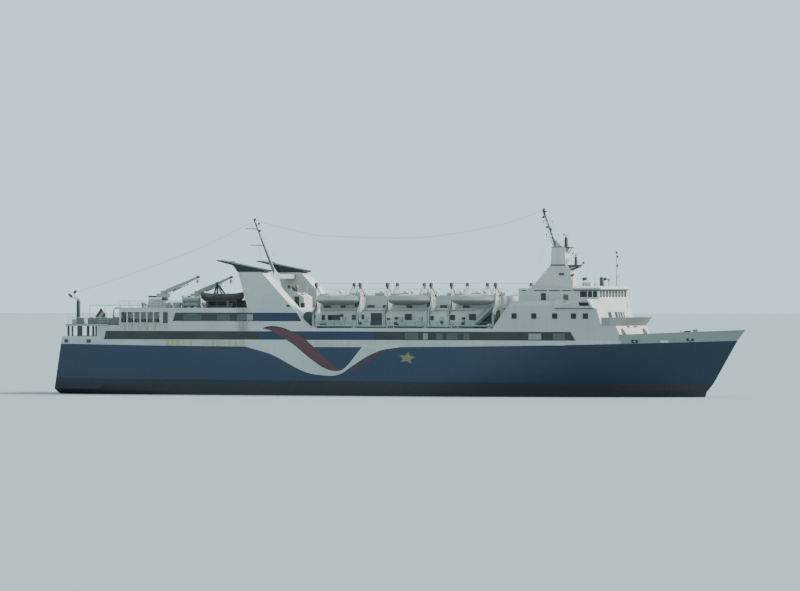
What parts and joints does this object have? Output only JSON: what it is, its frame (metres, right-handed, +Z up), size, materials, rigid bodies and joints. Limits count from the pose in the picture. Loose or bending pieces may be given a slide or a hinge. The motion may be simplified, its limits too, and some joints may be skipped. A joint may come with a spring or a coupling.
{
  "type": "ro-ro ship, 1:10 scale model",
  "caption": "Ro-ro passenger ship with stern ramp, vehicle deck, twin screws and rudders, side funnels, deck cranes, radars and lifeboats in swinging davits.",
  "frame": {"origin": "on the waterline, on the centreline, amidships", "axes": "+X to the bow, +Y to port, +Z up"},
  "size_m": [11.1918, 1.78, 3.2777],
  "materials": {
    "hull_blue": "satin",
    "antifouling": "matte",
    "white_paint": "satin",
    "deck_green": "matte",
    "dark_paint": "satin",
    "bronze": "satin",
    "grey_paint": "satin",
    "boat_brown": "matte"
  },
  "bodies": {
    "ship": {"hull_bottom": "antifouling", "hull_side_starboard": "hull_blue", "hull_side_port": "hull_blue", "hull_bow": "hull_blue", "main_deck": "hull_blue", "hull_stern": "hull_blue", "bow_bulwark": "hull_blue", "mooring_deck_frame": "white_paint", "aft_deck_c": "deck_green", "lower_house": "white_paint", "upper_house_aft": "white_paint", "promenade_screen_starboard": "white_paint", "promenade_screen_port": "white_paint", "upper_house_inner": "white_paint", "upper_house_forward": "white_paint", "front_bulwark": "white_paint", "top_deckhouse": "white_paint", "boat_deck_house": "white_paint", "bridge_wing_starboard": "white_paint", "bridge_wing_port": "white_paint", "wheelhouse_walls": "white_paint", "wheelhouse_roof": "white_paint", "funnel_starboard": "white_paint", "funnel_port": "white_paint", "funnel_fin_starboard": "dark_paint", "funnel_fin_port": "dark_paint", "aft_mast": "white_paint", "vent_house": "white_paint", "foremast": "white_paint", "crane_pedestal_starboard": "grey_paint", "crane_pedestal_port": "grey_paint", "raft_rack_starboard": "grey_paint", "raft_rack_port": "grey_paint", "work_boat": "boat_brown", "boat_cradle": "boat_brown", "windlass": "deck_green", "stern_light_post": "grey_paint"},
    "propeller_starboard": {"propeller_starboard": "bronze"},
    "propeller_port": {"propeller_port": "bronze"},
    "rudder_starboard": {"rudder_starboard": "antifouling"},
    "rudder_port": {"rudder_port": "antifouling"},
    "stern_ramp": {"stern_ramp": "hull_blue"},
    "crane_head_starboard": {"crane_head_starboard": "grey_paint"},
    "crane_boom_starboard": {"crane_boom_starboard": "grey_paint"},
    "crane_head_port": {"crane_head_port": "grey_paint"},
    "crane_boom_port": {"crane_boom_port": "grey_paint"},
    "radar_scanner_lower": {"radar_scanner_lower": "grey_paint"},
    "radar_scanner_upper": {"radar_scanner_upper": "grey_paint"},
    "davit_starboard_1": {"davit_starboard_1": "white_paint"},
    "lifeboat_starboard_1": {"lifeboat_starboard_1": "white_paint"},
    "davit_starboard_2": {"davit_starboard_2": "white_paint"},
    "lifeboat_starboard_2": {"lifeboat_starboard_2": "white_paint"},
    "davit_starboard_3": {"davit_starboard_3": "white_paint"},
    "lifeboat_starboard_3": {"lifeboat_starboard_3": "white_paint"},
    "davit_port_1": {"davit_port_1": "white_paint"},
    "lifeboat_port_1": {"lifeboat_port_1": "white_paint"},
    "davit_port_2": {"davit_port_2": "white_paint"},
    "lifeboat_port_2": {"lifeboat_port_2": "white_paint"},
    "davit_port_3": {"davit_port_3": "white_paint"},
    "lifeboat_port_3": {"lifeboat_port_3": "white_paint"}
  },
  "joints": [
    {"name": "propeller_starboard_spin", "type": "hinge", "parent": "ship", "child": "propeller_starboard", "pos_m": [-4.93, -0.36, -0.265], "axis": [1, 0, 0], "continuous": true},
    {"name": "propeller_port_spin", "type": "hinge", "parent": "ship", "child": "propeller_port", "pos_m": [-4.93, 0.36, -0.265], "axis": [1, 0, 0], "continuous": true},
    {"name": "rudder_starboard_turn", "type": "hinge", "parent": "ship", "child": "rudder_starboard", "pos_m": [-5.23, -0.36, -0.25], "axis": [0, 0, 1], "range_deg": [-35, 35]},
    {"name": "rudder_port_turn", "type": "hinge", "parent": "ship", "child": "rudder_port", "pos_m": [-5.23, 0.36, -0.25], "axis": [0, 0, 1], "range_deg": [-35, 35]},
    {"name": "stern_ramp_hinge", "type": "hinge", "parent": "ship", "child": "stern_ramp", "pos_m": [-5.53, 0, 0.267], "axis": [0, -1, 0], "range_deg": [0, 100]},
    {"name": "crane_starboard_slew", "type": "hinge", "parent": "ship", "child": "crane_head_starboard", "pos_m": [-3.76, -0.62, 1.5], "axis": [0, 0, -1], "range_deg": [-20, 170]},
    {"name": "crane_starboard_luff", "type": "hinge", "parent": "crane_head_starboard", "child": "crane_boom_starboard", "pos_m": [-3.785, -0.62, 1.578], "axis": [0, -1, 0], "range_deg": [-22, 45]},
    {"name": "crane_port_slew", "type": "hinge", "parent": "ship", "child": "crane_head_port", "pos_m": [-3.76, 0.62, 1.5], "axis": [0, 0, 1], "range_deg": [-20, 170]},
    {"name": "crane_port_luff", "type": "hinge", "parent": "crane_head_port", "child": "crane_boom_port", "pos_m": [-3.785, 0.62, 1.578], "axis": [0, -1, 0], "range_deg": [-22, 45]},
    {"name": "radar_scanner_lower_spin", "type": "hinge", "parent": "ship", "child": "radar_scanner_lower", "pos_m": [2.86, 0, 2.14], "axis": [0, 0, 1], "continuous": true},
    {"name": "radar_scanner_upper_spin", "type": "hinge", "parent": "ship", "child": "radar_scanner_upper", "pos_m": [2.7, 0, 2.43], "axis": [0, 0, 1], "continuous": true},
    {"name": "davit_starboard_1_swing", "type": "hinge", "parent": "ship", "child": "davit_starboard_1", "pos_m": [-0.77, -0.835, 1.07], "axis": [1, 0, 0], "range_deg": [0, 50]},
    {"name": "lifeboat_starboard_1_hang", "type": "hinge", "parent": "davit_starboard_1", "child": "lifeboat_starboard_1", "pos_m": [-0.77, -0.73, 1.685], "axis": [1, 0, 0], "range_deg": [-50, 0]},
    {"name": "davit_starboard_2_swing", "type": "hinge", "parent": "ship", "child": "davit_starboard_2", "pos_m": [0.4135, -0.835, 1.07], "axis": [1, 0, 0], "range_deg": [0, 50]},
    {"name": "lifeboat_starboard_2_hang", "type": "hinge", "parent": "davit_starboard_2", "child": "lifeboat_starboard_2", "pos_m": [0.4135, -0.73, 1.685], "axis": [1, 0, 0], "range_deg": [-50, 0]},
    {"name": "davit_starboard_3_swing", "type": "hinge", "parent": "ship", "child": "davit_starboard_3", "pos_m": [1.474, -0.835, 1.07], "axis": [1, 0, 0], "range_deg": [0, 50]},
    {"name": "lifeboat_starboard_3_hang", "type": "hinge", "parent": "davit_starboard_3", "child": "lifeboat_starboard_3", "pos_m": [1.474, -0.73, 1.685], "axis": [1, 0, 0], "range_deg": [-50, 0]},
    {"name": "davit_port_1_swing", "type": "hinge", "parent": "ship", "child": "davit_port_1", "pos_m": [-0.77, 0.835, 1.07], "axis": [-1, 0, 0], "range_deg": [0, 50]},
    {"name": "lifeboat_port_1_hang", "type": "hinge", "parent": "davit_port_1", "child": "lifeboat_port_1", "pos_m": [-0.77, 0.73, 1.685], "axis": [-1, 0, 0], "range_deg": [-50, 0]},
    {"name": "davit_port_2_swing", "type": "hinge", "parent": "ship", "child": "davit_port_2", "pos_m": [0.4135, 0.835, 1.07], "axis": [-1, 0, 0], "range_deg": [0, 50]},
    {"name": "lifeboat_port_2_hang", "type": "hinge", "parent": "davit_port_2", "child": "lifeboat_port_2", "pos_m": [0.4135, 0.73, 1.685], "axis": [-1, 0, 0], "range_deg": [-50, 0]},
    {"name": "davit_port_3_swing", "type": "hinge", "parent": "ship", "child": "davit_port_3", "pos_m": [1.474, 0.835, 1.07], "axis": [-1, 0, 0], "range_deg": [0, 50]},
    {"name": "lifeboat_port_3_hang", "type": "hinge", "parent": "davit_port_3", "child": "lifeboat_port_3", "pos_m": [1.474, 0.73, 1.685], "axis": [-1, 0, 0], "range_deg": [-50, 0]}
  ],
  "couplings": [
    {"joint": "rudder_port_turn", "follows": "rudder_starboard_turn", "ratio": 1},
    {"joint": "lifeboat_starboard_1_hang", "follows": "davit_starboard_1_swing", "ratio": -1},
    {"joint": "lifeboat_starboard_2_hang", "follows": "davit_starboard_2_swing", "ratio": -1},
    {"joint": "lifeboat_starboard_3_hang", "follows": "davit_starboard_3_swing", "ratio": -1},
    {"joint": "lifeboat_port_1_hang", "follows": "davit_port_1_swing", "ratio": -1},
    {"joint": "lifeboat_port_2_hang", "follows": "davit_port_2_swing", "ratio": -1},
    {"joint": "lifeboat_port_3_hang", "follows": "davit_port_3_swing", "ratio": -1}
  ]
}
